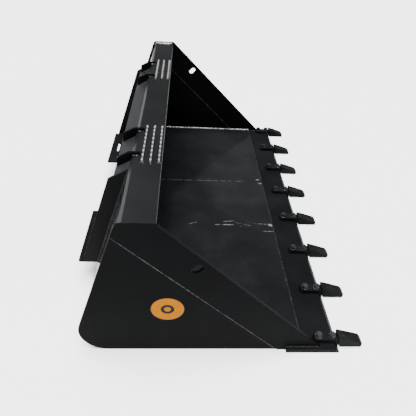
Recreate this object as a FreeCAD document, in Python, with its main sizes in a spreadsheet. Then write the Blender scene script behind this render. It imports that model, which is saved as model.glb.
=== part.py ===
import FreeCAD, Part
import math
import os
import Sketcher

# Skid steer bucket, 72 inch, with bolt-on teeth. Millimetres, +Z up.
# X runs across the bucket, the teeth point towards -Y and the machine stands on the +Y side.
# The origin is the middle of the footprint, on the ground.
# Side profiles are drawn in bucket stations: "station" is the distance forward from the rear edge
# of the mount's lower flanges, and the sketch's y is the height above the ground.

Vector = FreeCAD.Vector
doc = FreeCAD.newDocument("SkidSteerBucket")

# ---------------------------------------------------------------- driving dimensions

DIMENSIONS = (
    ("bucket_width", 1829, "over the side cutters"),
    ("overall_depth", 1164, "mount rear edge to tooth points"),
    ("plate_height", 622, "ground to top edge of the side plates"),
    ("plate_thick", 10, "side plate"),
    ("cutter_thick", 12.5, "side cutter, proud of the side plate on the outside"),
    ("cutter_wide", 130, "side cutter strip, square to its front edge"),
    ("top_flat", 126, "flat top edge of the side cutter"),
    ("heel_station", 24.3, "where the side plate's rear edge line meets the ground"),
    ("rear_lean", 18.6, "rear edge, degrees from upright"),
    ("front_slope", 43.9, "front edge, degrees from level"),
    ("heel_round", 106, "side plate heel radius"),
    ("corner_round", 20, "top rear corner radius"),
    ("edge_rear", 851, "cutting edge, rear station"),
    ("edge_front", 1065, "cutting edge, front station at the ground"),
    ("edge_thick", 19, "cutting edge thickness, also the height of the wear bars"),
    ("edge_bevel", 17, "length of the cutting edge's bevel"),
    ("edge_overhang", 14, "cutting edge beyond each side cutter"),
    ("sheet_thick", 6, "floor, heel and back sheet"),
    ("sheet_inset", 12.7, "back sheet inside the side plate's rear edge"),
    ("sheet_round", 95, "outside radius of the sheet at the heel"),
    ("floor_front", 916, "front edge of the floor, lapped on the cutting edge"),
    ("back_top", 595.5, "top of the back sheet"),
    ("beam_top", 614.5, "top of the beam"),
    ("beam_front", 356.5, "foremost station of the beam, on its front bend"),
    ("beam_bend", 253, "station where the beam's top bends down"),
    ("beam_lip", 14, "drop and run of the beam's rear lip"),
    ("beam_thick", 6, "beam plate"),
    ("beam_round", 8, "outside bend radius of the beam"),
    ("mount_half", 570.4, "half width over the end gussets"),
    ("gusset_thick", 10, "end gussets and top ribs"),
    ("gusset_depth", 64, "level depth of the end gussets behind the back sheet"),
    ("hook_height", 592, "height of the hook plate's top where it meets the back sheet"),
    ("hook_slope", 28.5, "hook plate, degrees below level"),
    ("hook_long", 63.5, "hook plate along its slope"),
    ("hook_thick", 12, "hook plate"),
    ("hook_hole", 14, "drain hole in the hook plate"),
    ("hook_hole_station", 209, "drain hole"),
    ("hook_hole_offset", 460, "drain hole from the centre line"),
    ("flange_bottom", 120, "underside of the lower flanges"),
    ("flange_thick", 12, "lower flanges"),
    ("flange_depth", 80.75, "lower flanges, rear edge to heel"),
    ("flange_inner", 233, "inner end of a lower flange from the centre line"),
    ("pin_slot_offset", 405, "wedge pin slot from the centre line"),
    ("pin_slot_station", 41, "wedge pin slot"),
    ("pin_slot_long", 110, "wedge pin slot, across the bucket"),
    ("pin_slot_wide", 15, "wedge pin slot"),
    ("brace_reach", 60, "flange brace under the lower flange"),
    ("brace_drop", 36, "flange brace height"),
    ("brace_spread", 70, "flange brace from the slot's middle"),
    ("rib_high", 12, "top ribs above the beam"),
    ("rib_rise", 33, "top ribs above the hook plate, square to it"),
    ("rib_front", 274, "front station of the top ribs"),
    ("rib_outer", 500, "outer top rib from the centre line"),
    ("rib_inner", 308, "inner top rib from the centre line"),
    ("grip_offset", 413, "middle of a step from the centre line"),
    ("grip_long", 290, "grip bar"),
    ("grip_wide", 6, "grip bar"),
    ("grip_high", 10, "grip bar, base to tooth tip"),
    ("grip_base", 5, "grip bar, base to tooth root"),
    ("grip_front", 345, "station of the first grip bar"),
    ("grip_spacing", 30.5, "between grip bars"),
    ("slot_edge", 41, "lifting slot, middle to the front edge"),
    ("slot_station", 485.8, "lifting slot, middle"),
    ("slot_long", 46, "lifting slot, square to the front edge"),
    ("slot_wide", 28, "lifting slot, along the front edge"),
    ("wear_wide", 75, "wear bar"),
    ("wear_rear", 180, "wear bar, rear station"),
    ("wear_front", 845, "wear bar, front station"),
    ("wear_inner", 225, "inner wear bar from the centre line"),
    ("tooth_first", 880, "outermost tooth from the centre line"),
    ("tooth_wide", 48, "tooth point"),
    ("tooth_rear", 1059, "rear station of the tooth points"),
    ("tooth_bottom", 4, "underside of the tooth points"),
    ("tooth_top", 51, "rear height of the tooth points"),
    ("shank_wide", 36, "tooth shank"),
    ("shank_rear", 963, "rear station of the shanks"),
    ("shank_thick", 20, "shank pad on the cutting edge"),
    ("nose_front", 1124, "front station of the shank's nose"),
    ("nose_clearance", 0.8, "between nose and point"),
    ("pin_station", 1086, "flex pin"),
    ("pin_round", 9, "flex pin diameter"),
    ("pin_low", 6.5, "bottom of the flex pin"),
    ("pin_long", 33, "flex pin length"),
    ("bolt_rear", 984, "rear bolt station"),
    ("bolt_spacing", 54, "between the two bolts of a shank"),
    ("bolt_round", 15.5, "bolt shank diameter"),
    ("bolt_hole", 16.5, "hole in shank and cutting edge"),
    ("bolt_head_deep", 6, "plow head depth"),
    ("washer_round", 28, "washer outside diameter"),
    ("washer_thick", 3, "washer"),
    ("nut_flats", 24, "nut across flats"),
    ("nut_thick", 12, "nut"),
    ("bolt_tail", 3, "bolt above the nut"),
    ("badge_round", 120, "badge diameter"),
    ("badge_thick", 0.8, "badge"),
    ("badge_station", 390, "badge, middle"),
    ("badge_height", 240, "badge, middle"),
)
TOOTH_COUNT = 8
GRIP_COUNT = 3
GRIP_TEETH = 9

sheet = doc.addObject("Spreadsheet::Sheet", "Sizes")
for row, (alias, number, meaning) in enumerate(DIMENSIONS, start=1):
    sheet.set("A%d" % row, meaning)
    sheet.set("B%d" % row, str(number))
    sheet.setAlias("B%d" % row, alias)
doc.recompute()


class Size:
    """A number together with the sheet expression that it is worked out by."""

    def __init__(self, value, text):
        self.value = float(value)
        self.text = text

    def __add__(self, other):
        other = as_size(other)
        return Size(self.value + other.value, "(%s + %s)" % (self.text, other.text))

    def __sub__(self, other):
        other = as_size(other)
        return Size(self.value - other.value, "(%s - %s)" % (self.text, other.text))

    def __mul__(self, other):
        other = as_size(other)
        return Size(self.value * other.value, "(%s * %s)" % (self.text, other.text))

    def __truediv__(self, other):
        other = as_size(other)
        return Size(self.value / other.value, "(%s / %s)" % (self.text, other.text))

    def __neg__(self):
        return as_size(0) - self


def as_size(number):
    return number if isinstance(number, Size) else Size(number, repr(float(number)))


def sine(angle):
    return Size(math.sin(math.radians(angle.value)), "sin(%s)" % angle.text)


def cosine(angle):
    return Size(math.cos(math.radians(angle.value)), "cos(%s)" % angle.text)


def tangent(angle):
    return Size(math.tan(math.radians(angle.value)), "tan(%s)" % angle.text)


class Sizes:
    """The sheet's dimensions as attributes, such as dim.bucket_width."""


dim = Sizes()
for alias, number, meaning in DIMENSIONS:
    setattr(dim, alias, Size(number, "Sizes." + alias))


# ---------------------------------------------------------------- lines of the side profile

def rear_line(height):
    """Station of the side plate's rear edge at a height."""
    return dim.heel_station + tangent(dim.rear_lean) * height


def front_line(height):
    """Station of the side cutter's front edge at a height."""
    top_front = rear_line(dim.plate_height) + dim.top_flat
    return top_front + (dim.plate_height - height) / tangent(dim.front_slope)


def seam_line(height):
    """Station of the seam between side cutter and side plate at a height."""
    return front_line(height) - dim.cutter_wide / sine(dim.front_slope)


def sheet_line(height):
    """Station of the back sheet's outer face at a height."""
    return rear_line(height) + dim.sheet_inset


def inner_line(height):
    """Station of the back sheet's inner face at a height."""
    return sheet_line(height) + dim.sheet_thick / cosine(dim.rear_lean)


half_width = dim.bucket_width / 2
inner_half = half_width - dim.cutter_thick
rear_y = dim.overall_depth / 2
tooth_spacing = dim.tooth_first * 2 / (TOOTH_COUNT - 1)
shank_top = dim.edge_thick + dim.shank_thick

# ---------------------------------------------------------------- building blocks

# Side-view bodies: x forward from the mount, y up, z across the bucket from +X to -X.
SIDE_VIEW = FreeCAD.Rotation(Vector(0, -1, 0), Vector(0, 0, 1), Vector(-1, 0, 0), "ZXY")
# Plan-view bodies: x forward, y across towards +X, z up.
PLAN_VIEW = FreeCAD.Rotation(Vector(0, -1, 0), Vector(1, 0, 0), Vector(0, 0, 1), "ZXY")
UPRIGHT = FreeCAD.Rotation()

nodes = {}


def bind(thing, prop, size):
    thing.setExpression(prop, size.text)


def add_body(name, rotation, across=0, height=0, forward=0):
    """Start the body of one node. across is its row X, height its row Z, forward its station."""
    body = doc.addObject("PartDesign::Body", name)
    body.Label = name
    body.Placement = FreeCAD.Placement(Vector(0, 0, 0), rotation)
    bind(body, ".Placement.Base.x", as_size(across))
    bind(body, ".Placement.Base.y", rear_y - forward)
    bind(body, ".Placement.Base.z", as_size(height))
    nodes[name] = body
    return body


def origin_feature(body, role):
    for feature in body.Origin.OriginFeatures:
        if feature.Role == role:
            return feature
    raise RuntimeError("no %s in %s" % (role, body.Name))


def add_sketch(body, role="XY_Plane"):
    sketch = body.newObject("Sketcher::SketchObject", body.Name + "Sketch")
    sketch.AttachmentSupport = (origin_feature(body, role), [""])
    sketch.MapMode = "FlatFace"
    return sketch


def locate(sketch, geometry, point, x, y):
    """Fix one point of a sketch's geometry by its two distances from the sketch origin."""
    for kind, size in (("DistanceX", x), ("DistanceY", y)):
        size = as_size(size)
        constraint = Sketcher.Constraint(kind, -1, 1, geometry, point, size.value)
        index = sketch.addConstraint(constraint)
        label = "%s_%d_%d" % (kind, geometry, point)
        sketch.renameConstraint(index, label)
        bind(sketch, "Constraints." + label, size)


def add_polygon(sketch, corners):
    """Draw a closed polygon whose corners are (x, y) pairs of sizes."""
    places = [Vector(as_size(x).value, as_size(y).value, 0) for x, y in corners]
    first = sketch.GeometryCount
    for index, place in enumerate(places):
        following = places[(index + 1) % len(places)]
        sketch.addGeometry(Part.LineSegment(place, following), False)
    for index in range(len(places)):
        following = first + (index + 1) % len(places)
        sketch.addConstraint(Sketcher.Constraint("Coincident", first + index, 2, following, 1))
    for index, (x, y) in enumerate(corners):
        locate(sketch, first + index, 1, x, y)


def add_circles(sketch, centres, diameter):
    for x, y in centres:
        centre = Vector(as_size(x).value, as_size(y).value, 0)
        circle = Part.Circle(centre, Vector(0, 0, 1), diameter.value / 2)
        geometry = sketch.addGeometry(circle, False)
        locate(sketch, geometry, 3, x, y)
        index = sketch.addConstraint(Sketcher.Constraint("Diameter", geometry, diameter.value))
        sketch.renameConstraint(index, "Diameter_%d" % geometry)
        bind(sketch, "Constraints.Diameter_%d" % geometry, diameter)


def add_pad(body, sketch, length, midplane=False, taper=0):
    pad = body.newObject("PartDesign::Pad", body.Name + "Pad")
    pad.Profile = sketch
    pad.Midplane = midplane
    bind(pad, "Length", as_size(length))
    pad.TaperAngle = taper
    doc.recompute()
    return pad


def cut_through(body, sketch):
    """Cut a sketch right through the body, both ways from its plane."""
    before = body.Shape.Volume
    pocket = body.newObject("PartDesign::Pocket", body.Name + "Pocket")
    pocket.Profile = sketch
    pocket.Type = "ThroughAll"
    pocket.Midplane = True
    doc.recompute()
    if body.Shape.Volume >= before:
        raise RuntimeError("the pocket cuts nothing in " + body.Name)
    return pocket


def cut_midplane(body, sketch, length):
    """Cut a sketch by a length centred on its plane."""
    before = body.Shape.Volume
    pocket = body.newObject("PartDesign::Pocket", body.Name + "Cavity")
    pocket.Profile = sketch
    pocket.Midplane = True
    bind(pocket, "Length", length)
    doc.recompute()
    if body.Shape.Volume >= before:
        raise RuntimeError("the cavity cuts nothing in " + body.Name)
    return pocket


def cut_slot(body, role, centre, along, length, width):
    """Cut a round-ended slot through the body; along is its long axis as an (x, y) direction."""
    x, y = centre
    along_x, along_y = along
    straight = (length - width) / 2
    corners = []
    for end, side in ((-1, -1), (1, -1), (1, 1), (-1, 1)):
        run = straight * end
        step = width * (side / 2)
        corners.append((x + run * along_x - step * along_y, y + run * along_y + step * along_x))
    sides = add_sketch(body, role)
    add_polygon(sides, corners)
    cut_through(body, sides)
    ends = add_sketch(body, role)
    centres = []
    for end in (-1, 1):
        run = straight * end
        centres.append((x + run * along_x, y + run * along_y))
    add_circles(ends, centres, width)
    return cut_through(body, ends)


def edges_where(feature, test):
    """Names of a feature's edges whose two ends both pass a test on their coordinates."""
    names = []
    for index, edge in enumerate(feature.Shape.Edges, start=1):
        ends = [vertex.Point for vertex in edge.Vertexes]
        if len(ends) == 2 and all(test(end) for end in ends):
            names.append("Edge%d" % index)
    if not names:
        raise RuntimeError("no such edge on " + feature.Name)
    return names


def corner_test(corner):
    """True for points that stand over an (x, y) corner of the sketch."""
    x, y = corner
    return lambda point: math.hypot(point.x - x.value, point.y - y.value) < 0.01


def round_edges(body, feature, edges, radius):
    fillet = body.newObject("PartDesign::Fillet", body.Name + "Fillet")
    fillet.Base = (feature, edges)
    bind(fillet, "Radius", as_size(radius))
    doc.recompute()
    return fillet


def bevel_edges(body, feature, edges, size):
    chamfer = body.newObject("PartDesign::Chamfer", body.Name + "Chamfer")
    chamfer.Base = (feature, edges)
    bind(chamfer, "Size", as_size(size))
    doc.recompute()
    return chamfer


def repeat_across(body, feature, role, count, length):
    pattern = body.newObject("PartDesign::LinearPattern", body.Name + "Pattern")
    pattern.Originals = [feature]
    pattern.Direction = (origin_feature(body, role), [""])
    pattern.Occurrences = count
    bind(pattern, "Length", length)
    body.Tip = pattern
    doc.recompute()
    return pattern


def side_profile(name, corners, across, thickness):
    """A plate cut to a side profile, from row X = across towards -X by its thickness."""
    body = add_body(name, SIDE_VIEW, across=across)
    sketch = add_sketch(body)
    add_polygon(sketch, corners)
    pad = add_pad(body, sketch, thickness)
    return body, pad


def point(x, y):
    return as_size(x), as_size(y)


# ---------------------------------------------------------------- bowl

def make_shell():
    """Floor, heel and back, bent from one sheet."""
    outer_heel = point(sheet_line(dim.edge_thick), dim.edge_thick)
    floor_top = dim.edge_thick + dim.sheet_thick
    inner_heel = point(inner_line(floor_top), floor_top)
    corners = [
        point(dim.floor_front, dim.edge_thick),
        outer_heel,
        point(sheet_line(dim.back_top), dim.back_top),
        point(inner_line(dim.back_top), dim.back_top),
        inner_heel,
        point(dim.floor_front, floor_top),
    ]
    body, pad = side_profile("bucket_shell", corners, inner_half, inner_half * 2)
    outer = round_edges(body, pad, edges_where(pad, corner_test(outer_heel)), dim.sheet_round)
    inner_radius = dim.sheet_round - dim.sheet_thick
    round_edges(body, outer, edges_where(outer, corner_test(inner_heel)), inner_radius)


def make_beam():
    """Top beam: lip, flat top and a front flange that runs back down to the sheet."""
    diagonal = dim.beam_thick * math.sqrt(2)
    fold = 1 / math.tan(math.radians(22.5)) - 1
    corner_front = dim.beam_front + dim.beam_round * fold
    face_gap = corner_front - dim.beam_top
    lean = tangent(dim.rear_lean)
    inner_start = inner_line(as_size(0))
    foot = (inner_start - face_gap) / (as_size(1) - lean)
    foot_inside = (inner_start - face_gap + diagonal) / (as_size(1) - lean)
    inside_top = dim.beam_top - dim.beam_thick
    bend_gap = dim.beam_bend - dim.beam_top
    lip_end = point(dim.beam_bend - dim.beam_lip, dim.beam_top - dim.beam_lip)
    lip_step = dim.beam_thick / math.sqrt(2)
    bend = point(dim.beam_bend, dim.beam_top)
    front = point(corner_front, dim.beam_top)
    bend_inside = point(inside_top + bend_gap + diagonal, inside_top)
    front_inside = point(inside_top + face_gap - diagonal, inside_top)
    corners = [
        lip_end,
        bend,
        front,
        point(foot + face_gap, foot),
        point(foot_inside + face_gap - diagonal, foot_inside),
        front_inside,
        bend_inside,
        point(lip_end[0] + lip_step, lip_end[1] - lip_step),
    ]
    body, pad = side_profile("top_beam", corners, inner_half, inner_half * 2)
    outer_bends = edges_where(pad, corner_test(bend)) + edges_where(pad, corner_test(front))
    outside = round_edges(body, pad, outer_bends, dim.beam_round)
    inner_bends = edges_where(outside, corner_test(bend_inside))
    inner_bends = inner_bends + edges_where(outside, corner_test(front_inside))
    round_edges(body, outside, inner_bends, dim.beam_round - dim.beam_thick)


def make_cutting_edge():
    """Bevelled cutting edge with countersunk holes for the tooth bolts."""
    end = half_width + dim.edge_overhang
    corners = [
        point(dim.edge_rear, 0),
        point(dim.edge_front, 0),
        point(dim.edge_front - dim.edge_bevel, dim.edge_thick),
        point(dim.edge_rear, dim.edge_thick),
    ]
    body, pad = side_profile("cutting_edge", corners, end, end * 2)
    holes = add_sketch(body, "XZ_Plane")
    first_tooth = end - dim.tooth_first
    centres = [
        point(dim.bolt_rear, first_tooth),
        point(dim.bolt_rear + dim.bolt_spacing, first_tooth),
    ]
    add_circles(holes, centres, dim.bolt_hole)
    drilled = cut_through(body, holes)
    pattern = repeat_across(body, drilled, "Z_Axis", TOOTH_COUNT, dim.tooth_first * 2)
    rims = []
    for index, edge in enumerate(pattern.Shape.Edges, start=1):
        on_ground = abs(edge.BoundBox.YMin) < 0.01 and abs(edge.BoundBox.YMax) < 0.01
        if isinstance(edge.Curve, Part.Circle) and on_ground:
            rims.append("Edge%d" % index)
    if len(rims) != TOOTH_COUNT * 2:
        raise RuntimeError("%d hole rims found" % len(rims))
    bevel_edges(body, pattern, rims, dim.bolt_head_deep)


def make_wear_bars():
    """Four flat bars under the floor, as deep as the cutting edge."""
    chamfer = dim.edge_thick * 0.8
    corners = [
        point(dim.wear_rear + chamfer, 0),
        point(dim.wear_front, 0),
        point(dim.wear_front, dim.edge_thick),
        point(dim.wear_rear, dim.edge_thick),
        point(dim.wear_rear, chamfer),
    ]
    for index, factor in enumerate((-3, -1, 1, 3), start=1):
        across = dim.wear_inner * factor + dim.wear_wide / 2
        side_profile("wear_bar_%d" % index, corners, across, dim.wear_wide)


# ---------------------------------------------------------------- ends

def make_end(side, outward):
    """Side plate and side cutter of one end; outward is -1 for -X and 1 for +X."""
    lean = tangent(dim.rear_lean)
    slope = tangent(dim.front_slope)
    seam_top = (seam_line(as_size(0)) - dim.heel_station) / (lean + as_size(1) / slope)
    seam_rear = point(rear_line(seam_top), seam_top)
    seam_foot = point(seam_line(as_size(0)), 0)
    heel = point(dim.heel_station, 0)

    plate_across = inner_half + dim.plate_thick if outward > 0 else -inner_half
    name = "side_plate_" + side
    body, pad = side_profile(name, [heel, seam_foot, seam_rear], plate_across, dim.plate_thick)
    round_edges(body, pad, edges_where(pad, corner_test(heel)), dim.heel_round)

    top_rear = point(rear_line(dim.plate_height), dim.plate_height)
    corners = [
        seam_rear,
        seam_foot,
        point(dim.edge_rear, 0),
        point(dim.edge_rear, dim.edge_thick),
        point(front_line(dim.edge_thick), dim.edge_thick),
        point(front_line(dim.plate_height), dim.plate_height),
        top_rear,
    ]
    cutter_across = half_width if outward > 0 else -inner_half
    body, pad = side_profile("side_cutter_" + side, corners, cutter_across, dim.cutter_thick)
    corner = edges_where(pad, corner_test(top_rear))
    round_edges(body, pad, corner, dim.corner_round)

    middle = point(dim.slot_station, dim.plate_height - slot_drop())
    square = (sine(dim.front_slope), cosine(dim.front_slope))
    cut_slot(body, "XY_Plane", middle, square, dim.slot_long, dim.slot_wide)


def slot_drop():
    """Height of the lifting slot's middle below the top edge."""
    edge_run = dim.slot_station - front_line(dim.plate_height)
    edge_drop = edge_run * tangent(dim.front_slope)
    return edge_drop + dim.slot_edge / cosine(dim.front_slope)


def make_badge(side, outward):
    """Round plain badge on the outside of a side plate."""
    outside = inner_half + dim.plate_thick
    across = outside + dim.badge_thick if outward > 0 else -outside
    body = add_body("badge_" + side, SIDE_VIEW, across=across)
    sketch = add_sketch(body)
    add_circles(sketch, [point(dim.badge_station, dim.badge_height)], dim.badge_round)
    add_pad(body, sketch, dim.badge_thick)


# ---------------------------------------------------------------- machine mount

def hook_point(reach, lift=0):
    """Point on the hook plate's top, reach rearward from the sheet, lift square above it."""
    reach = as_size(reach)
    lift = as_size(lift)
    run = cosine(dim.hook_slope)
    fall = sine(dim.hook_slope)
    x = sheet_line(dim.hook_height) - run * reach - fall * lift
    y = dim.hook_height - fall * reach + run * lift
    return point(x, y)


def make_hook_plate():
    """Sloping plate that hooks over the top edge of the machine's carrier."""
    joint = dim.hook_thick / cosine(dim.hook_slope + dim.rear_lean)
    start = hook_point(0)
    under_x = start[0] - joint * sine(dim.rear_lean)
    under_y = start[1] - joint * cosine(dim.rear_lean)
    under_start = point(under_x, under_y)
    corners = [
        start,
        hook_point(dim.hook_long),
        hook_point(dim.hook_long, -dim.hook_thick),
        under_start,
    ]
    end = dim.mount_half - dim.gusset_thick
    body, pad = side_profile("hook_plate", corners, end, end * 2)
    sketch = add_sketch(body, "XZ_Plane")
    centres = [
        point(dim.hook_hole_station, end - dim.hook_hole_offset),
        point(dim.hook_hole_station, end + dim.hook_hole_offset),
    ]
    add_circles(sketch, centres, dim.hook_hole)
    cut_through(body, sketch)


def make_end_gusset(side, outward):
    """End plate of the mount, from lower flange to hook plate."""
    flange_top = dim.flange_bottom + dim.flange_thick
    reach = dim.gusset_depth * cosine(dim.rear_lean) / cosine(dim.hook_slope + dim.rear_lean)
    top_rear = hook_point(reach)
    corners = [
        point(sheet_line(flange_top) - dim.gusset_depth, flange_top),
        point(sheet_line(flange_top), flange_top),
        hook_point(0),
        top_rear,
    ]
    across = dim.mount_half if outward > 0 else dim.gusset_thick - dim.mount_half
    body, pad = side_profile("mount_gusset_" + side, corners, across, dim.gusset_thick)
    round_edges(body, pad, edges_where(pad, corner_test(top_rear)), 8)


def make_flange(side, outward):
    """Lower flange with the slot that the machine's wedge pin passes through."""
    corners = [
        point(0, dim.flange_bottom),
        point(dim.flange_depth, dim.flange_bottom),
        point(dim.flange_depth, dim.flange_bottom + dim.flange_thick),
        point(0, dim.flange_bottom + dim.flange_thick),
    ]
    length = dim.mount_half - dim.flange_inner
    across = dim.mount_half if outward > 0 else -dim.flange_inner
    body, pad = side_profile("lower_flange_" + side, corners, across, length)
    from_end = dim.mount_half - dim.pin_slot_offset
    middle = from_end if outward > 0 else length - from_end
    slot = point(dim.pin_slot_station, middle)
    cut_slot(body, "XZ_Plane", slot, (0, 1), dim.pin_slot_long, dim.pin_slot_wide)


def make_braces():
    """Small triangles under the lower flanges, either side of each pin slot."""
    front = dim.flange_depth - 0.15
    corners = [
        point(dim.flange_depth - dim.brace_reach, dim.flange_bottom),
        point(front, dim.flange_bottom - dim.brace_drop),
        point(front, dim.flange_bottom),
    ]
    places = [(-1, -1), (-1, 1), (1, -1), (1, 1)]
    for index, (side, beside) in enumerate(places, start=1):
        middle = dim.pin_slot_offset * side + dim.brace_spread * beside
        across = middle + dim.gusset_thick / 2
        side_profile("flange_brace_%d" % index, corners, across, dim.gusset_thick)


def make_ribs():
    """Ribs that follow the beam's top and the hook plate either side of each step."""
    drop = dim.beam_lip
    rib_top = dim.beam_top + dim.rib_high
    rear_foot = hook_point(dim.hook_long - 5)
    rear_top = hook_point(dim.hook_long - 26, dim.rib_rise)
    upper_bend = point(rear_top[0] + (rib_top - rear_top[1]) / tangent(dim.hook_slope), rib_top)
    corners = [
        point(dim.rib_front, dim.beam_top),
        point(dim.beam_bend, dim.beam_top),
        point(dim.beam_bend - drop, dim.beam_top - drop),
        hook_point(0),
        rear_foot,
        rear_top,
        upper_bend,
        point(dim.rib_front, rib_top),
    ]
    places = {
        "top_rib_right_outer": -dim.rib_outer,
        "top_rib_right_inner": -dim.rib_inner,
        "top_rib_left_inner": dim.rib_inner,
        "top_rib_left_outer": dim.rib_outer,
    }
    for name, middle in places.items():
        across = middle + dim.gusset_thick / 2
        body, pad = side_profile(name, corners, across, dim.gusset_thick)
        bent = round_edges(body, pad, edges_where(pad, corner_test(upper_bend)), 25)
        round_edges(body, bent, edges_where(bent, corner_test(rear_top)), 10)


def make_grip_bars(side, outward):
    """Serrated bars of one step, front to rear."""
    pitch = dim.grip_long / GRIP_TEETH
    for index in range(GRIP_COUNT):
        station = dim.grip_front - dim.grip_spacing * index
        middle = dim.grip_offset * outward
        name = "grip_bar_%s_%d" % (side, index + 1)
        body = add_body(name, UPRIGHT, across=middle, height=dim.beam_top, forward=station)
        start = -dim.grip_long / 2
        corners = [point(start, 0)]
        for tooth in range(GRIP_TEETH):
            left = start + pitch * tooth
            corners.append(point(left + pitch * 0.08, dim.grip_base))
            corners.append(point(left + pitch * 0.34, dim.grip_high))
            corners.append(point(left + pitch * 0.66, dim.grip_high))
            corners.append(point(left + pitch * 0.92, dim.grip_base))
        corners.append(point(-start, 0))
        sketch = add_sketch(body, "XZ_Plane")
        add_polygon(sketch, corners)
        add_pad(body, sketch, dim.grip_wide, midplane=True)


# ---------------------------------------------------------------- teeth

def nose_profile(gap):
    """Side profile of the shank's nose, grown by a gap on every side."""
    gap = as_size(gap)
    rear = dim.tooth_rear + 1 - gap
    front = dim.nose_front + gap
    low = as_size(14) - gap
    return rear, front, low, as_size(38) + gap, as_size(20) + gap


def make_shank(index, across):
    """Bolt-on shank: a pad on the cutting edge and a tapering nose in front of it."""
    rear, front, low, high_rear, high_front = nose_profile(0)
    bevel_top = dim.edge_front - dim.edge_bevel
    pad_front = dim.tooth_rear - 5
    corners = [
        point(dim.shank_rear, dim.edge_thick),
        point(bevel_top + 3, dim.edge_thick),
        point(rear, low),
        point(front, low),
        point(front, high_front),
        point(rear, high_rear),
        point(pad_front, shank_top),
        point(dim.shank_rear + 6, shank_top),
    ]
    name = "tooth_shank_%d" % index
    body, pad = side_profile(name, corners, across + dim.shank_wide / 2, dim.shank_wide)
    station_rear = dim.shank_rear.value + 7
    upright = lambda p: p.x < station_rear
    ends = []
    for number, edge in enumerate(pad.Shape.Edges, start=1):
        tips = [vertex.Point for vertex in edge.Vertexes]
        level = abs(tips[0].z - tips[1].z) < 0.01
        rising = abs(tips[0].y - tips[1].y) > 1
        if level and rising and all(upright(tip) for tip in tips):
            ends.append("Edge%d" % number)
    bevel_edges(body, pad, ends, 7)
    holes = add_sketch(body, "XZ_Plane")
    middle = dim.shank_wide / 2
    centres = [
        point(dim.bolt_rear, middle),
        point(dim.bolt_rear + dim.bolt_spacing, middle),
    ]
    add_circles(holes, centres, dim.bolt_hole)
    add_circles(holes, [point(dim.pin_station, middle)], dim.pin_round + 1)
    cut_through(body, holes)


def make_point(index, across):
    """Hollow wedge-shaped tooth point that slides over the shank's nose."""
    corners = [
        point(dim.tooth_rear + 12, dim.tooth_bottom),
        point(dim.overall_depth - 4, dim.tooth_bottom),
        point(dim.overall_depth, dim.tooth_bottom + 5),
        point(dim.overall_depth, 13),
        point(dim.overall_depth - 10, 22),
        point(dim.tooth_rear + 36, 41),
        point(dim.tooth_rear, dim.tooth_top),
        point(dim.tooth_rear, dim.tooth_top - 8),
    ]
    body = add_body("tooth_point_%d" % index, SIDE_VIEW, across=across)
    sketch = add_sketch(body)
    add_polygon(sketch, corners)
    add_pad(body, sketch, dim.tooth_wide, midplane=True)
    trim = add_sketch(body, "XZ_Plane")
    half = dim.tooth_wide / 2
    for side in (-1, 1):
        clipped = [
            point(dim.overall_depth - 8, (half + 1) * side),
            point(dim.overall_depth + 1, (half - 8) * side),
            point(dim.overall_depth + 1, (half + 1) * side),
        ]
        add_polygon(trim, clipped)
    cut_through(body, trim)
    rear, front, low, high_rear, high_front = nose_profile(dim.nose_clearance)
    mouth = dim.tooth_rear - 1
    rise = (high_rear - high_front) / (front - rear)
    cavity = add_sketch(body)
    hollow = [
        point(mouth, low),
        point(front, low),
        point(front, high_front),
        point(mouth, high_rear + rise * (rear - mouth)),
    ]
    add_polygon(cavity, hollow)
    cut_midplane(body, cavity, dim.shank_wide + dim.nose_clearance * 2)
    hole = add_sketch(body, "XZ_Plane")
    add_circles(hole, [point(dim.pin_station, 0)], dim.pin_round)
    cut_through(body, hole)


def add_bolt_circles(body, diameter):
    sketch = add_sketch(body)
    centres = [point(0, 0), point(dim.bolt_spacing, 0)]
    add_circles(sketch, centres, diameter)
    return sketch


def make_fasteners():
    """Plow bolts, washers, nuts and flex pins, each kind as one group of solids."""
    first = -dim.tooth_first
    row_length = dim.tooth_first * 2
    washer_foot = shank_top
    nut_foot = washer_foot + dim.washer_thick
    bolt_top = nut_foot + dim.nut_thick + dim.bolt_tail

    body = add_body("tooth_bolts", PLAN_VIEW, across=first, forward=dim.bolt_rear)
    shanks = add_pad(body, add_bolt_circles(body, dim.bolt_round), bolt_top)
    shank_row = repeat_across(body, shanks, "Y_Axis", TOOTH_COUNT, row_length)
    head_round = dim.bolt_hole + dim.bolt_head_deep * 2
    heads = add_pad(body, add_bolt_circles(body, head_round), dim.bolt_head_deep, taper=-45)
    repeat_across(body, heads, "Y_Axis", TOOTH_COUNT, row_length)
    if shank_row.Shape.Volume >= body.Shape.Volume:
        raise RuntimeError("the bolts have no heads")

    body = add_body("tooth_washers", PLAN_VIEW, first, washer_foot, dim.bolt_rear)
    washers = add_pad(body, add_bolt_circles(body, dim.washer_round), dim.washer_thick)
    washer_row = repeat_across(body, washers, "Y_Axis", TOOTH_COUNT, row_length)
    bore_row(body, washer_row)

    body = add_body("tooth_nuts", PLAN_VIEW, first, nut_foot, dim.bolt_rear)
    sketch = add_sketch(body)
    corner_radius = dim.nut_flats / math.sqrt(3)
    for centre in (as_size(0), dim.bolt_spacing):
        corners = []
        for turn in range(6):
            angle = math.radians(60 * turn)
            away = corner_radius * math.cos(angle)
            beside = corner_radius * math.sin(angle)
            corners.append(point(centre + away, beside))
        add_polygon(sketch, corners)
    nuts = add_pad(body, sketch, dim.nut_thick)
    nut_row = repeat_across(body, nuts, "Y_Axis", TOOTH_COUNT, row_length)
    bore_row(body, nut_row)

    body = add_body("tooth_flex_pins", PLAN_VIEW, first, dim.pin_low, dim.pin_station)
    sketch = add_sketch(body)
    add_circles(sketch, [point(0, 0)], dim.pin_round)
    pins = add_pad(body, sketch, dim.pin_long)
    repeat_across(body, pins, "Y_Axis", TOOTH_COUNT, row_length)


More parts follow.
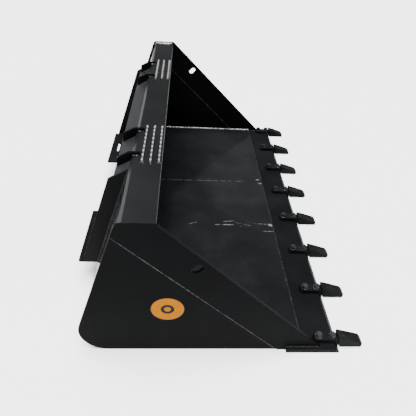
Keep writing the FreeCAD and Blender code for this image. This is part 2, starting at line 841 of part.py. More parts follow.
def bore_row(body, row):
    """Bore every washer or nut of a row to clear its bolt."""
    bores = cut_through(body, add_bolt_circles(body, dim.bolt_round + 0.4))
    repeat_across(body, bores, "Y_Axis", TOOTH_COUNT, dim.tooth_first * 2)
    if body.Shape.Volume >= row.Shape.Volume:
        raise RuntimeError("nothing bored in " + body.Name)


# ---------------------------------------------------------------- assembly and export

make_shell()
make_beam()
make_cutting_edge()
make_wear_bars()
make_hook_plate()
make_braces()
make_ribs()
for side_name, direction in (("right", -1), ("left", 1)):
    make_end(side_name, direction)
    make_badge(side_name, direction)
    make_end_gusset(side_name, direction)
    make_flange(side_name, direction)
    make_grip_bars(side_name, direction)
for tooth in range(TOOTH_COUNT):
    place = tooth_spacing * tooth - dim.tooth_first
    make_shank(tooth + 1, place)
    make_point(tooth + 1, place)
make_fasteners()
doc.recompute()

faults = []
for thing in doc.Objects:
    if "Invalid" in thing.State or "Error" in thing.State:
        faults.append("%s: %s" % (thing.Name, thing.State))
for name, thing in nodes.items():
    if thing.Shape.isNull() or not thing.Shape.isValid() or not thing.Shape.Solids:
        faults.append("%s has no valid solid" % name)
if faults:
    raise RuntimeError("; ".join(faults))

os.makedirs("parts", exist_ok=True)
for name, thing in nodes.items():
    thing.Shape.exportStep("parts/%s.step" % name)
    print("%-24s %2d solids %12.0f mm3" % (name, len(thing.Shape.Solids), thing.Shape.Volume))
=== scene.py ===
import math
import random

import bmesh
import bpy
from mathutils import Matrix, Vector, noise


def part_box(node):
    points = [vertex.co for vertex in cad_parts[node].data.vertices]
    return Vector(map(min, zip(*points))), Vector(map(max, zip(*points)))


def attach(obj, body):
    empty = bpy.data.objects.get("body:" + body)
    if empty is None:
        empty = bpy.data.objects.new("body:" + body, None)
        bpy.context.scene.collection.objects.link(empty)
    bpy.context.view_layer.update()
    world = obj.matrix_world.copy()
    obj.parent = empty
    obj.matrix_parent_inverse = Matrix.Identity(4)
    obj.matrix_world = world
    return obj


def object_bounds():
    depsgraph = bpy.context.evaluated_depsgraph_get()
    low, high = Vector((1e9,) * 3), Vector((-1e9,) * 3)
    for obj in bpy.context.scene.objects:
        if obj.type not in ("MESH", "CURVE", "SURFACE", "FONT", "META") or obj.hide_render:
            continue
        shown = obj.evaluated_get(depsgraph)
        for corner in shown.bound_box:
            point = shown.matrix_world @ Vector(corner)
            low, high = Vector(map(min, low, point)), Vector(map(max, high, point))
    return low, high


# Skid steer bucket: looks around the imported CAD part. Metres, +Z up, teeth towards -Y.

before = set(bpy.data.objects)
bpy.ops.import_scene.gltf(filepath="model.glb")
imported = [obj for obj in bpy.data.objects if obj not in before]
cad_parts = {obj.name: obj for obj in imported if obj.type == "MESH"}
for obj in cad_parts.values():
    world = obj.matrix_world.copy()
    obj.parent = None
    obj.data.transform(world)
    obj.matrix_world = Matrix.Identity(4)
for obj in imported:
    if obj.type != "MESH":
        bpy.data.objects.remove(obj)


def plain(bounds):
    """The two corners of a box as plain lists."""
    return [[float(value) for value in corner] for corner in bounds]


cad_box = plain(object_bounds())
MM = 0.001
rng = random.Random(72)

# ---------------------------------------------------------------- measures from the frame

shell_low, shell_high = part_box("bucket_shell")
edge_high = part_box("cutting_edge")[1]
beam_low, beam_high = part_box("top_beam")
cutter_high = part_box("side_cutter_left")[1]
plate_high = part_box("side_plate_left")[1]
gusset_low, gusset_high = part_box("mount_gusset_left")
flange_low, flange_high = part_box("lower_flange_left")
hook_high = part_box("hook_plate")[1]

INNER = shell_high.x
PLATE_OUT = plate_high.x
CUTTER_OUT = cutter_high.x
EDGE_TOP = edge_high.z
PLATE_TOP = cutter_high.z
BEAM_TOP = beam_high.z
REAR_Y = flange_high.y
SHEET = 6 * MM
FLOOR_TOP = EDGE_TOP + SHEET
HEEL_ROUND = 95 * MM
LEAN = math.radians(18.6)  # back sheet, from upright
SLOPE = math.radians(43.9)  # front edge of the side cutter, from level
STRIP = 130 * MM  # width of the side cutter, square to its front edge
CUTTER_SHELF = 135 * MM  # from the cutter's rearmost point to the top of its sloping edge
FLOOR_FRONT = REAR_Y - shell_low.y
BEAM_BEND = 253 * MM  # station where the beam's rear lip meets its flat top
BEAM_SEAM = 97 * MM  # length of the end weld along the flat top


def station(u, z, x=0.0):
    """Row-frame point from a distance in front of the mount's rear edge and a height."""
    return Vector((x, REAR_Y - u, z))


def sheet_line(z):
    """Station of the back sheet's outer face at a height."""
    return 37 * MM + z * math.tan(LEAN)


def inner_line(z):
    """Station of the back sheet's inner face at a height."""
    return sheet_line(z) + SHEET / math.cos(LEAN)


def front_line(z):
    """Station of the side cutter's sloping front edge at a height."""
    top_front = REAR_Y - cutter_high.y + CUTTER_SHELF
    return top_front + (PLATE_TOP - z) / math.tan(SLOPE)


def seam_line(z):
    """Station of the seam between side plate and side cutter at a height."""
    return front_line(z) - STRIP / math.sin(SLOPE)


# ---------------------------------------------------------------- node helpers

class Nodes:
    """A material's node tree with short ways to add nodes and links."""

    def __init__(self, name):
        self.material = bpy.data.materials.new(name)
        self.material.use_nodes = True
        self.tree = self.material.node_tree
        self.tree.nodes.clear()
        self.out = self.tree.nodes.new("ShaderNodeOutputMaterial")
        self.coord = self.tree.nodes.new("ShaderNodeTexCoord").outputs["Object"]

    def add(self, kind, inputs=None, **settings):
        node = self.tree.nodes.new(kind)
        for key, value in settings.items():
            setattr(node, key, value)
        for key, value in (inputs or {}).items():
            self.put(node.inputs[key], value)
        return node

    def put(self, socket, value):
        if isinstance(value, bpy.types.NodeSocket):
            self.tree.links.new(value, socket)
        else:
            socket.default_value = value

    def math(self, operation, a, b=0.0, c=0.0, clamp=False):
        node = self.add("ShaderNodeMath", {0: a, 1: b, 2: c}, operation=operation)
        node.use_clamp = clamp
        return node.outputs[0]

    def noise(self, scale, detail=3.0, rough=0.5, vector=None, distortion=0.0):
        values = {"Vector": vector or self.coord, "Scale": scale, "Detail": detail}
        values["Roughness"] = rough
        values["Distortion"] = distortion
        return self.add("ShaderNodeTexNoise", values).outputs["Fac"]

    def stretch(self, x, y, z, turn=(0, 0, 0)):
        values = {"Vector": self.coord, "Scale": (x, y, z), "Rotation": turn}
        return self.add("ShaderNodeMapping", values).outputs["Vector"]

    def ramp(self, value, low, high, out_low=0.0, out_high=1.0, smooth=True):
        kind = "SMOOTHSTEP" if smooth else "LINEAR"
        values = {"Value": value, "From Min": low, "From Max": high}
        values["To Min"] = out_low
        values["To Max"] = out_high
        node = self.add("ShaderNodeMapRange", values, interpolation_type=kind)
        return node.outputs["Result"]

    def mix(self, factor, a, b):
        node = self.add("ShaderNodeMix", data_type="RGBA")
        self.put(node.inputs["Factor"], factor)
        self.put(node.inputs[6], a)
        self.put(node.inputs[7], b)
        return node.outputs[2]

    def xyz(self):
        return self.add("ShaderNodeSeparateXYZ", {0: self.coord}).outputs

    def edges(self, radius):
        """1 near sharp outer or inner edges, from how far the rounded normal turns."""
        rounded = self.add("ShaderNodeBevel", {"Radius": radius}, samples=6).outputs[0]
        flat = self.add("ShaderNodeNewGeometry").outputs["Normal"]
        dot = self.add("ShaderNodeVectorMath", {0: rounded, 1: flat}, operation="DOT_PRODUCT")
        return self.math("SUBTRACT", 1.0, dot.outputs["Value"], clamp=True)

    def bump(self, height, distance, strength=1.0, radius=None):
        values = {"Height": height, "Distance": distance, "Strength": strength}
        if radius:
            values["Normal"] = self.add("ShaderNodeBevel", {"Radius": radius}, samples=6).outputs[0]
        return self.add("ShaderNodeBump", values).outputs[0]

    def surface(self, color, roughness, metallic, normal, ior_level):
        values = {"Base Color": color, "Roughness": roughness, "Metallic": metallic}
        values["Normal"] = normal
        values["Specular IOR Level"] = ior_level
        shader = self.add("ShaderNodeBsdfPrincipled", values)
        self.put(self.out.inputs["Surface"], shader.outputs[0])
        return self.material


def grey(value, tint=(1.0, 1.0, 1.0)):
    return (value * tint[0], value * tint[1], value * tint[2], 1.0)


COOL = (0.94, 1.0, 1.08)

# ---------------------------------------------------------------- materials

def paint(name, base, rough, level, wear=0.6, dust=0.5):
    """Sprayed black paint on rolled plate: fine peel, soft patches, dust and worn edges."""
    n = Nodes(name)
    patches = n.noise(2.4, 5.0, 0.6)
    cloud = n.noise(9.0, 4.0, 0.55)
    grain = n.noise(420.0, 2.0, 0.5)
    rolling = n.noise(1.0, 6.0, 0.65, n.stretch(3.0, 28.0, 28.0))
    tone = n.mix(n.ramp(patches, 0.32, 0.7), grey(base * 0.75, COOL), grey(base * 1.45, COOL))
    film = n.math("MULTIPLY", n.ramp(cloud, 0.45, 0.85), 0.35 * dust)
    dusty = n.mix(film, tone, grey(0.16, (1.06, 1.0, 0.93)))
    scrape = n.noise(1.0, 3.0, 0.5, n.stretch(60.0, 700.0, 700.0, (0.0, 0.35, 0.5)))
    scratches = n.math("MULTIPLY", n.ramp(scrape, 0.70, 0.74), n.ramp(cloud, 0.55, 0.7))
    rubbed = n.mix(n.math("MULTIPLY", scratches, 0.35), dusty, grey(0.05))
    chip = n.noise(160.0, 4.0, 0.7)
    edge = n.math("MULTIPLY", n.ramp(n.edges(2.2 * MM), 0.02, 0.25), n.ramp(chip, 0.42, 0.62))
    worn = n.mix(n.math("MULTIPLY", edge, wear), rubbed, grey(0.05, (1.0, 1.0, 1.02)))
    uneven = n.math("MULTIPLY_ADD", patches, 0.16, rough - 0.08)
    gloss = n.math("MULTIPLY_ADD", film, 0.5, uneven, clamp=True)
    peel = n.math("MULTIPLY_ADD", rolling, 1.6, n.math("MULTIPLY", grain, 0.3))
    normal = n.bump(peel, 0.25 * MM, 0.35, 1.4 * MM)
    return n.surface(worn, gloss, 0.0, normal, level)


def bowl_paint(name, base, rough, level):
    """The bowl's paint: as the plates', with the scuffs and long marks that the floor shows."""
    n = Nodes(name)
    place = n.xyz()
    x = place[0]
    y = place[1]
    patches = n.noise(2.1, 5.0, 0.6)
    cloud = n.noise(7.0, 4.0, 0.55)
    rolling = n.noise(1.0, 6.0, 0.65, n.stretch(3.0, 20.0, 20.0))
    grain = n.noise(420.0, 2.0, 0.5)
    tone = n.mix(n.ramp(patches, 0.3, 0.72), grey(base * 0.8, COOL), grey(base * 1.5, COOL))
    wobble = n.math("MULTIPLY_ADD", n.noise(6.0, 2.0), 4 * MM, -2 * MM)

    broken = n.ramp(n.noise(38.0, 3.0, 0.6), 0.36, 0.56)

    def mark(start, end, half, strength):
        """A thin rubbed line between two (x, y) places of the floor."""
        tilt = (end[0] - start[0]) / (end[1] - start[1])
        middle = n.math("MULTIPLY_ADD", y, tilt, start[0] - start[1] * tilt)
        offset = n.math("ABSOLUTE", n.math("ADD", n.math("SUBTRACT", x, middle), wobble))
        line = n.ramp(offset, half * 2, half)
        fade = 8 * MM
        after = n.ramp(y, end[1] - fade, end[1] + fade)
        before = n.ramp(y, start[1] + fade, start[1] - fade)
        both = n.math("MULTIPLY", line, n.math("MULTIPLY", after, before))
        return n.math("MULTIPLY", n.math("MULTIPLY", both, broken), strength)

    marks = mark((0.216, 0.30), (0.219, -0.227), 2.4 * MM, 0.22)
    for start, end, half, strength in (
        ((-0.190, 0.105), (-0.175, 0.070), 2.0 * MM, 0.6),
        ((-0.192, -0.030), (-0.192, -0.125), 2.4 * MM, 0.7),
        ((-0.167, -0.075), (-0.159, -0.130), 1.8 * MM, 0.6),
        ((-0.174, -0.140), (-0.196, -0.215), 1.6 * MM, 0.35),
        ((-0.205, -0.160), (-0.196, -0.210), 1.4 * MM, 0.3),
        ((-0.177, -0.240), (-0.184, -0.318), 1.8 * MM, 0.5),
        ((-0.239, -0.280), (-0.239, -0.332), 1.8 * MM, 0.6),
        ((0.239, -0.303), (0.240, -0.323), 4.0 * MM, 0.7),
        ((0.201, -0.312), (0.201, -0.330), 4.0 * MM, 0.7),
        ((-0.184, -0.312), (-0.192, -0.330), 6.0 * MM, 1.6),
    ):
        marks = n.math("MAXIMUM", marks, mark(start, end, half, strength))
    marks = n.math("MINIMUM", marks, 1.0)
    film = n.math("MULTIPLY", n.ramp(cloud, 0.42, 0.85), 0.02)
    dusty = n.mix(film, tone, grey(0.16, (1.05, 1.0, 0.94)))
    rubbed = n.mix(marks, dusty, grey(0.10))
    chip = n.ramp(n.noise(150.0, 4.0, 0.7), 0.42, 0.62)
    edge = n.math("MULTIPLY", n.ramp(n.edges(2.2 * MM), 0.02, 0.25), chip)
    worn = n.mix(n.math("MULTIPLY", edge, 0.5), rubbed, grey(0.05))
    gloss = n.math("MULTIPLY_ADD", cloud, 0.10, rough - 0.05, clamp=True)
    peel = n.math("MULTIPLY_ADD", rolling, 2.2, n.math("MULTIPLY", grain, 0.1))
    normal = n.bump(peel, 0.3 * MM, 0.3, 1.4 * MM)
    return n.surface(worn, gloss, 0.0, normal, level)


def cast_paint(name, base, rough, level):
    """Painted castings of the teeth: pebbly skin, edges rubbed to grey."""
    n = Nodes(name)
    pebble = n.noise(260.0, 5.0, 0.65)
    lumps = n.noise(60.0, 3.0, 0.5)
    patches = n.noise(11.0, 4.0, 0.6)
    tone = n.mix(n.ramp(patches, 0.3, 0.7), grey(base * 0.7, COOL), grey(base * 1.5, COOL))
    chip = n.ramp(n.noise(190.0, 4.0, 0.7), 0.38, 0.6)
    edge = n.math("MULTIPLY", n.ramp(n.edges(2.0 * MM), 0.02, 0.22), chip)
    worn = n.mix(n.math("MULTIPLY", edge, 0.55), tone, grey(0.04))
    gloss = n.math("MULTIPLY_ADD", pebble, 0.25, rough - 0.12, clamp=True)
    relief = n.math("MULTIPLY_ADD", lumps, 1.5, pebble)
    normal = n.bump(relief, 0.35 * MM, 0.55, 1.8 * MM)
    return n.surface(worn, gloss, 0.0, normal, level)


def zinc(name, base, rough):
    """Zinc plating with dull patches, and black paint over-spray in places."""
    n = Nodes(name)
    patches = n.noise(70.0, 4.0, 0.6)
    spray = n.ramp(n.noise(38.0, 4.0, 0.6), 0.42, 0.54)
    fine = n.noise(900.0, 2.0, 0.5)
    tone = n.mix(patches, grey(base * 0.6), grey(base * 1.2, (1.0, 1.0, 0.97)))
    color = n.mix(spray, tone, grey(0.008))
    metal = n.math("SUBTRACT", 1.0, spray, clamp=True)
    gloss = n.math("MULTIPLY_ADD", patches, 0.3, rough - 0.1, clamp=True)
    normal = n.bump(fine, 0.12 * MM, 0.4, 0.8 * MM)
    return n.surface(color, gloss, metal, normal, 0.5)


def bolt_paint(name, base, bright):
    """Painted nuts and bolt ends whose corners are rubbed to bare zinc."""
    n = Nodes(name)
    speckle = n.noise(220.0, 4.0, 0.65)
    patches = n.noise(60.0, 3.0, 0.6)
    edge = n.math("MULTIPLY", n.ramp(n.edges(1.6 * MM), 0.01, 0.16), n.ramp(speckle, 0.30, 0.55))
    tone = n.mix(patches, grey(base * 0.6, COOL), grey(base * 1.6, COOL))
    color = n.mix(n.math("MULTIPLY", edge, 0.8), tone, grey(bright))
    gloss = n.math("MULTIPLY_ADD", patches, 0.3, 0.25, clamp=True)
    normal = n.bump(speckle, 0.15 * MM, 0.4, 1.0 * MM)
    return n.surface(color, gloss, n.math("MULTIPLY", edge, 0.6), normal, 0.4)


def grip_paint(name):
    """Serrated bars: painted sides, the tooth crests light and partly metallic, rubbed metal with a
    painted highlight.
    """
    n = Nodes(name)
    z = n.xyz()[2]
    speckle = n.noise(300.0, 3.0, 0.6)
    height = n.math("ADD", z, n.math("MULTIPLY_ADD", speckle, 2 * MM, -1 * MM))
    # The crests are lightened by height: rubbed metal and painted highlight.
    worn_and_highlit_tops = n.ramp(height, BEAM_TOP + 9.0 * MM, BEAM_TOP + 9.9 * MM)
    color = n.mix(worn_and_highlit_tops, grey(0.004, COOL), grey(0.22))
    gloss = n.math("MULTIPLY_ADD", speckle, 0.3, 0.25, clamp=True)
    normal = n.bump(speckle, 0.3 * MM, 0.5, 1.0 * MM)
    return n.surface(color, gloss, n.math("MULTIPLY", worn_and_highlit_tops, 0.3), normal, 0.3)


def badge_paint(name, centre):
    """Amber disc with a dark rim and a plain dark ring."""
    n = Nodes(name)
    place = n.xyz()
    y = place[1]
    z = place[2]
    across = n.math("SUBTRACT", y, centre.y)
    up = n.math("SUBTRACT", z, centre.z)
    square = n.math("ADD", n.math("MULTIPLY", across, across), n.math("MULTIPLY", up, up))
    radius = n.math("SQRT", square)
    ring = n.ramp(n.math("ABSOLUTE", n.math("SUBTRACT", radius, 18 * MM)), 6.6 * MM, 5.4 * MM)
    rim = n.ramp(radius, 57.2 * MM, 58.4 * MM)
    dark = n.math("MAXIMUM", ring, rim)
    mottle = n.noise(55.0, 4.0, 0.6)
    amber = n.mix(mottle, (0.27, 0.088, 0.0, 1), (0.36, 0.125, 0.0, 1))
    color = n.mix(dark, amber, grey(0.012))
    gloss = n.math("MULTIPLY_ADD", mottle, 0.15, 0.35)
    height = n.math("ADD", n.math("MULTIPLY", dark, -0.5), n.math("MULTIPLY", mottle, 0.1))
    normal = n.bump(height, 0.4 * MM, 0.6)
    return n.surface(color, gloss, 0.0, normal, 0.02)


def weld_paint(name, base, bright, amount, cover=0.44, level=0.08):
    """Weld bead under paint, with bright spots where the paint is thin. Where base and bright are set
    light, as for the bowl heel and beam-end beads, the light base and the spots are also painted
    highlight.
    """
    n = Nodes(name)
    spots = n.noise(85.0, 4.0, 0.7)
    fine = n.noise(500.0, 3.0, 0.6)
    # Lighter spots are thin paint; on the light weld material they are painted highlight as well.
    shown = n.math("MULTIPLY", n.ramp(spots, cover, cover + 0.14), amount)
    color = n.mix(shown, grey(base, COOL), grey(bright))
    gloss = n.math("MULTIPLY_ADD", fine, 0.25, 0.25)
    normal = n.bump(n.math("MULTIPLY_ADD", spots, 1.5, fine), 0.5 * MM, 0.6)
    return n.surface(color, gloss, n.math("MULTIPLY", shown, 0.3), normal, level)


def floor_paint(name):
    """Pale matt studio floor with a very faint mottling."""
    n = Nodes(name)
    drift = n.noise(0.9, 4.0, 0.5)
    color = n.mix(drift, (0.895, 0.90, 0.915, 1), (0.92, 0.93, 0.945, 1))
    normal = n.bump(n.noise(180.0, 2.0), 0.1 * MM, 0.1)
    return n.surface(color, 0.85, 0.0, normal, 0.1)


# One black paint in life. The base colours and specular levels differ from plate to plate
# to match the photo's brightness, so they hold some of its light.
PAINT = paint("plate_paint", 0.0052, 0.46, 0.06, wear=0.04, dust=0.02)
HOOK_PAINT = paint("hook_paint", 0.0100, 0.50, 0.08, wear=0.2, dust=0.03)
SIDE_PAINT = paint("side_paint", 0.0019, 0.5, 0.016, wear=0.2, dust=0.01)
# Rib paint: its darkest base is painted shade on the ribs' faces, and its strong edge wear lightens
# their upper edges as wear and painted highlight.
RIB_PAINT = paint("rib_paint", 0.0010, 0.5, 0.03, wear=0.5, dust=0.01)
BOWL_PAINT = bowl_paint("bowl_paint", 0.0046, 0.125, 0.15)
EDGE_PAINT = paint("edge_paint", 0.0034, 0.48, 0.02, wear=0.05, dust=0.01)
MOUNT_PAINT = paint("mount_paint", 0.0030, 0.45, 0.035, wear=0.25, dust=0.02)
TOOTH_PAINT = cast_paint("tooth_paint", 0.0052, 0.40, 0.012)
ZINC = zinc("zinc", 0.22, 0.35)
BOLT_PAINT = bolt_paint("bolt_paint", 0.004, 0.025)
GRIP_PAINT = grip_paint("grip_paint")
WELD_DARK = weld_paint("weld_dark", 0.006, 0.018, 0.9, level=0.04)
WELD_SIDE = weld_paint("weld_side", 0.012, 0.06, 1.0)
# Bowl heel and beam-end beads: the light base and bright spots are painted highlight where light
# catches the bead's top, besides thin paint.
WELD_PAINTED_HIGHLIGHT = weld_paint("weld_painted_highlight", 0.04, 0.42, 1.0, cover=0.42, level=0.4)
WELD_STEP = weld_paint("weld_step", 0.006, 0.26, 1.0, cover=0.50)

badge_low, badge_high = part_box("badge_right")
BADGE_PAINT = badge_paint("badge_paint", (badge_low + badge_high) / 2)

NODE_PAINT = (
    ("tooth_bolts", BOLT_PAINT),
    ("tooth_nuts", BOLT_PAINT),
    ("tooth_washers", ZINC),
    ("tooth_flex", BOLT_PAINT),
    ("tooth_", TOOTH_PAINT),
    ("badge_", BADGE_PAINT),
    ("grip_bar", GRIP_PAINT),
    ("bucket_shell", BOWL_PAINT),
    ("cutting_edge", EDGE_PAINT),
    ("wear_bar", EDGE_PAINT),
    ("side_", SIDE_PAINT),
    ("mount_gusset", MOUNT_PAINT),
    ("lower_flange", MOUNT_PAINT),
    ("flange_brace", MOUNT_PAINT),
    ("top_rib", RIB_PAINT),
    ("hook_plate", HOOK_PAINT),
    ("", PAINT),
)


def dress_nodes():
    """Give every CAD node its material."""
    for name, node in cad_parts.items():
        for prefix, material in NODE_PAINT:
            if name.startswith(prefix):
                node.data.materials.clear()
                node.data.materials.append(material)
                break


# ---------------------------------------------------------------- weld beads

class Beads:
    """Weld beads of one region, gathered into one mesh."""

    def __init__(self, name, material):
        self.name = name
        self.material = material
        self.mesh = bmesh.new()

    def run(self, points, radius, pitch=4.5 * MM, ripple=0.16, wander=0.12, sides=10):
        """A rippled bead along a polyline, with rounded ends."""
        stations = resample(points, pitch / 4)
        count = len(stations)
        seed = Vector((rng.uniform(0, 50), rng.uniform(0, 50), rng.uniform(0, 50)))
        rings = []
        for index, (centre, along) in enumerate(stations):
            side = along.cross(Vector((0, 0, 1)))
            if side.length < 0.2:
                side = along.cross(Vector((0, 1, 0)))
            side.normalize()
            up = side.cross(along).normalized()
            travelled = index * pitch / 4
            wave = 1 + ripple * (0.5 - abs((travelled / pitch) % 1 - 0.5) * 2 * 0.9)
            loose = 1 + wander * noise.noise(seed + centre * 60)
            ends = min(index, count - 1 - index) * pitch / 4 / radius
            close = math.sqrt(max(0.02, 1 - (1 - min(1.0, ends)) ** 2))
            size = radius * wave * loose * close
            shift = up * (0.25 * radius * noise.noise(seed * 2 + centre * 35))
            ring = []
            for turn in range(sides):
                angle = 2 * math.pi * turn / sides
                offset = side * math.cos(angle) + up * math.sin(angle)
                ring.append(self.mesh.verts.new(centre + shift + offset * size))
            rings.append(ring)
        for first, second in zip(rings, rings[1:]):
            for turn in range(sides):
                after = (turn + 1) % sides
                self.mesh.faces.new((first[turn], first[after], second[after], second[turn]))
        self.mesh.faces.new(list(reversed(rings[0])))
        self.mesh.faces.new(rings[-1])

    def stitches(self, start, end, length, gap, radius):
        """Short runs along a straight line."""
        span = (end - start).length
        along = (end - start).normalized()
        count = max(1, int((span + gap) / (length + gap)))
        first = (span - count * length - (count - 1) * gap) / 2
        for index in range(count):
            low = first + index * (length + gap)
            self.run([start + along * low, start + along * (low + length)], radius)

    def finish(self):
        bmesh.ops.recalc_face_normals(self.mesh, faces=self.mesh.faces)
        data = bpy.data.meshes.new(self.name)
        self.mesh.to_mesh(data)
        self.mesh.free()
        data.materials.append(self.material)
        for polygon in data.polygons:
            polygon.use_smooth = True
        piece = bpy.data.objects.new(self.name, data)
        bpy.context.scene.collection.objects.link(piece)
        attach(piece, "root")
        return piece


def resample(points, step):
    """Even stations along a polyline, as (point, direction) pairs."""
    result = []
    for start, end in zip(points, points[1:]):
        span = (end - start).length
        count = max(1, round(span / step))
        direction = (end - start).normalized()
        for index in range(count):
            result.append((start.lerp(end, index / count), direction))
    result.append((points[-1].copy(), (points[-1] - points[-2]).normalized()))
    return result


def heel_path(x, inset):
    """Corner line of the sheet's inner face against a side plate, front to back."""
    radius = HEEL_ROUND - SHEET
    centre_u = sheet_line(EDGE_TOP) + HEEL_ROUND / math.tan((math.pi / 2 - LEAN) / 2)
    centre_z = EDGE_TOP + HEEL_ROUND
    path = [station(FLOOR_FRONT - inset, FLOOR_TOP, x), station(centre_u, FLOOR_TOP, x)]
    steps = 10
    for index in range(1, steps + 1):
        angle = -math.pi / 2 - (math.pi / 2 + LEAN) * index / steps
        u = centre_u + radius * math.cos(angle)
        z = centre_z + radius * math.sin(angle)
        path.append(station(u, z, x))
    top = beam_low.z
    path.append(station(inner_line(top), top, x))
    return path


def weld_bowl():
    """Beads where the sheet and the beam's ends meet the side plates."""
    for side, name in ((-1, "right"), (1, "left")):
        # These beads use the weld paint whose light base and spots are painted highlight.
        beads = Beads("weld_bowl_" + name, WELD_PAINTED_HIGHLIGHT)
        beads.run(heel_path(INNER * side, 0.0), 5.5 * MM)
        beads.finish()
        beads = Beads("weld_beam_end_" + name, WELD_PAINTED_HIGHLIGHT)
        x = INNER * side
        top = [
            station(BEAM_BEND - 13 * MM, BEAM_TOP - 13 * MM, x),
            station(BEAM_BEND, BEAM_TOP, x),
            station(BEAM_BEND + BEAM_SEAM, BEAM_TOP, x),
        ]
        beads.run(top, 5 * MM, ripple=0.3, wander=0.35)
        if side > 0:
            for inward, cut in ((9 * MM, 6 * MM), (18 * MM, 20 * MM)):
                second = Vector((x - inward, top[1].y - cut, top[1].z))
                third = Vector((x - inward, top[2].y + cut, top[2].z))
                beads.run([second, third], 5 * MM, ripple=0.4, wander=0.7)
        beads.finish()


def weld_edge():
    """Beads along the floor's front seam and the feet of the side cutters."""
    beads = Beads("weld_cutting_edge", WELD_DARK)
    seam_z = EDGE_TOP + 1.5 * MM
    start = station(FLOOR_FRONT, seam_z, -INNER)
    end = station(FLOOR_FRONT, seam_z, INNER)
    beads.run([start, end], 5 * MM, wander=0.3)
    for side in (-1, 1):
        outer = CUTTER_OUT * side
        foot = seam_line(0) + 34 * MM
        tip = front_line(EDGE_TOP)
        beads.run([station(foot, EDGE_TOP, outer), station(tip, EDGE_TOP, outer)], 4.5 * MM)
        inner = INNER * side
        start = station(FLOOR_FRONT + 6 * MM, EDGE_TOP, inner)
        beads.run([start, station(tip, EDGE_TOP, inner)], 4.5 * MM)
    beads.finish()


def weld_seams():
    """Thin seams between side plates and side cutters, on both faces."""
    top_z = (seam_line(0) - 24.3 * MM) / (math.tan(LEAN) + 1 / math.tan(SLOPE))
    for side, name in ((-1, "right"), (1, "left")):
        beads = Beads("weld_seam_" + name, WELD_SIDE)
        for x, radius in ((PLATE_OUT, 1.9 * MM), (INNER, 1.3 * MM)):
            low = station(seam_line(6 * MM), 6 * MM, x * side)
            high = station(seam_line(top_z - 3 * MM), top_z - 3 * MM, x * side)
            beads.run([low, high], radius, pitch=5 * MM, ripple=0.1)
        beads.finish()


def weld_mount():
    """Beads round the mount's end plates, lower flanges and hook plate."""
    beads = Beads("weld_mount", WELD_DARK)
    foot = flange_high.z
    top = hook_high.z - 6 * MM
    for side in (-1, 1):
        for x in (gusset_low.x, gusset_high.x):
            low = station(sheet_line(foot), foot, x * side)
            high = station(sheet_line(top), top, x * side)
            beads.run([low, high], 4 * MM)
        near = flange_low.x * side
        far = gusset_low.x * side
        heel = flange_high.y - flange_low.y
        beads.run([station(heel, foot, near), station(heel, foot, far)], 4 * MM)
        low = flange_low.z
        beads.run([station(heel, low, near), station(heel, low, gusset_high.x * side)], 4 * MM)
        inside = gusset_low.x * side
        rear = sheet_line(foot) - 58 * MM
        beads.run([station(rear, foot, inside), station(heel, foot, inside)], 4 * MM)
    under_z = hook_high.z - 16 * MM
    under = sheet_line(under_z)
    start = station(under, under_z, -gusset_low.x)
    end = station(under, under_z, gusset_low.x)
    beads.run([start, end], 4.5 * MM)
    beads.finish()


def weld_steps():
    """Beads at the grip bars and at the front of the ribs."""
    beads = Beads("weld_steps", WELD_STEP)
    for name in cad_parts:
        if not (name.startswith("grip_bar") or name.startswith("top_rib")):
            continue
        low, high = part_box(name)
        if name.startswith("grip_bar"):
            y = (low.y + high.y) / 2
            for x, way in ((low.x, -1), (high.x, 1)):
                blob = [Vector((x - way * 6 * MM, y, low.z)), Vector((x + way * 7 * MM, y, low.z))]
                beads.run(blob, 4.5 * MM, wander=0.5)
            for edge in (low.y, high.y):
                if "left" in name:
                    beads.run([Vector((low.x, edge, low.z)), Vector((high.x, edge, low.z))], 3.6 * MM)
                    continue
                for x, way in ((low.x, 1), (high.x, -1)):
                    stitch = [Vector((x, edge, low.z)), Vector((x + way * 15 * MM, edge, low.z))]
                    beads.run(stitch, 2.5 * MM)
        else:
            front = low.y
            for x in (low.x, high.x):
                start = Vector((x, front + 2 * MM, BEAM_TOP))
                beads.run([start, start + Vector((0, 26 * MM, 0))], 3.4 * MM, wander=0.6)
    beads.finish()


def weld_wear_bars():
    """Short stitches along the wear bars."""
    beads = Beads("weld_wear_bars", WELD_DARK)
    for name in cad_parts:
        if name.startswith("wear_bar"):
            low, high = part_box(name)
            for x in (low.x, high.x):
                start = Vector((x, low.y + 20 * MM, high.z))
                end = Vector((x, high.y - 25 * MM, high.z))
                beads.stitches(start, end, 50 * MM, 90 * MM, 4 * MM)
    beads.finish()


# ---------------------------------------------------------------- stage, light and camera

FLOOR_SIZE = 40.0
HORIZON_STRENGTH = 0.42
OVERHEAD_STRENGTH = 0.24
SUN_STRENGTH = 14.0
SUN_WIDTH = math.radians(52)


def make_stage():
    """The plain pale floor, just under the part."""
    mesh = bmesh.new()
    bmesh.ops.create_grid(mesh, x_segments=8, y_segments=8, size=FLOOR_SIZE)
    data = bpy.data.meshes.new("studio_floor")
    mesh.to_mesh(data)
    mesh.free()
    data.materials.append(floor_paint("studio_floor"))
    floor = bpy.data.objects.new("studio_floor", data)
    bpy.context.scene.collection.objects.link(floor)
    floor.location = (0, 0, cad_box[0][2] - 0.2 * MM)


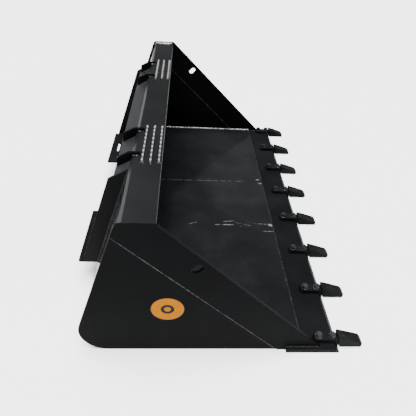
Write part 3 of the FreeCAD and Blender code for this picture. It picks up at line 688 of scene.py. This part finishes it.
def make_world():
    """A plain world, brighter at the horizon than overhead."""
    world = bpy.data.worlds.new("studio")
    world.use_nodes = True
    tree = world.node_tree
    background = tree.nodes["Background"]
    background.inputs["Color"].default_value = (0.94, 0.96, 1.0, 1)
    coord = tree.nodes.new("ShaderNodeTexCoord")
    split = tree.nodes.new("ShaderNodeSeparateXYZ")
    height = tree.nodes.new("ShaderNodeMapRange")
    height.interpolation_type = "SMOOTHSTEP"
    height.inputs["From Min"].default_value = 0.0
    height.inputs["From Max"].default_value = 0.8
    height.inputs["To Min"].default_value = HORIZON_STRENGTH
    height.inputs["To Max"].default_value = OVERHEAD_STRENGTH
    tree.links.new(coord.outputs["Generated"], split.inputs[0])
    tree.links.new(split.outputs[2], height.inputs["Value"])
    tree.links.new(height.outputs["Result"], background.inputs["Strength"])
    bpy.context.scene.world = world


def make_lights():
    """One wide, soft light from overhead."""
    sun = bpy.data.lights.new("overhead", "SUN")
    sun.energy = SUN_STRENGTH
    sun.angle = SUN_WIDTH
    lamp = bpy.data.objects.new("overhead", sun)
    lamp.rotation_euler = (math.radians(-3), math.radians(-5), 0)
    bpy.context.scene.collection.objects.link(lamp)


CAMERA_PLACE = Vector((-1.8266, 0.156, 1.4024))
CAMERA_LENS = 35.37
CAMERA_PITCH = math.radians(37.73)
CAMERA_YAW = math.radians(-4.92)
CAMERA_ROLL = math.radians(4.35)


def make_camera():
    """The photo's camera, looking along +X and down."""
    camera = bpy.data.cameras.new("camera")
    camera.sensor_width = 36.0
    camera.lens = CAMERA_LENS
    camera.clip_end = 100.0
    thing = bpy.data.objects.new("camera", camera)
    flat = math.cos(CAMERA_PITCH)
    forward = flat * math.cos(CAMERA_YAW)
    sideways = flat * math.sin(CAMERA_YAW)
    view = Vector((forward, sideways, -math.sin(CAMERA_PITCH)))
    level = view.cross(Vector((0, 0, 1))).normalized()
    upright = level.cross(view)
    right = level * math.cos(CAMERA_ROLL) + upright * math.sin(CAMERA_ROLL)
    up = upright * math.cos(CAMERA_ROLL) - level * math.sin(CAMERA_ROLL)
    turn = Matrix((right, up, -view)).transposed().to_4x4()
    thing.matrix_world = Matrix.Translation(CAMERA_PLACE) @ turn
    bpy.context.scene.collection.objects.link(thing)
    bpy.context.scene.camera = thing


dress_nodes()
weld_bowl()
weld_edge()
weld_seams()
weld_mount()
weld_steps()
weld_wear_bars()
make_stage()
make_world()
make_lights()
make_camera()
bpy.context.view_layer.update()
